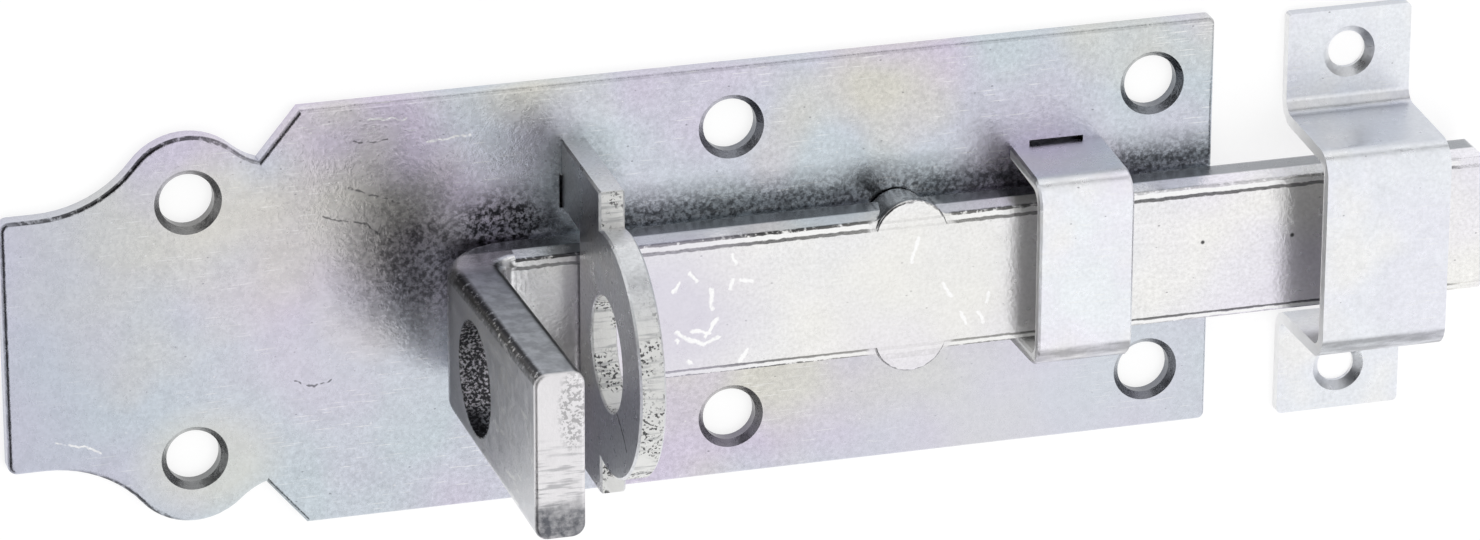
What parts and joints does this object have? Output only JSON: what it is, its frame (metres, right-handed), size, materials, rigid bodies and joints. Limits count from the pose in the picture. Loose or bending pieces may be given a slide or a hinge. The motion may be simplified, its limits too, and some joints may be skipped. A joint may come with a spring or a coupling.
{
  "type": "door bolt",
  "caption": "Flat padlock door bolt: plate, sliding bar with bent lug, ear staple, guide strap and separate keeper.",
  "frame": {"origin": "middle of the plate's back face", "axes": "+X along the bolt towards the keeper, +Z out of the door face, +Y across the plate"},
  "size_m": [0.1711, 0.0502, 0.0445],
  "materials": {
    "plate_steel": "zinc plated, satin, mottled",
    "staple_steel": "zinc plated, rough cut rim",
    "strap_steel": "zinc plated, smooth",
    "bolt_steel": "zinc plated, satin, nicked",
    "keeper_steel": "zinc plated, smooth"
  },
  "bodies": {
    "plate": {"base_plate": "plate_steel", "padlock_staple": "staple_steel", "guide_strap": "strap_steel", "keeper": "keeper_steel"},
    "bolt": {"sliding_bolt": "bolt_steel"}
  },
  "joints": [
    {"name": "bolt_slide", "type": "slide", "parent": "plate", "child": "bolt", "axis": [1, 0, 0], "range_m": [-0.0326, 0.0086]}
  ]
}
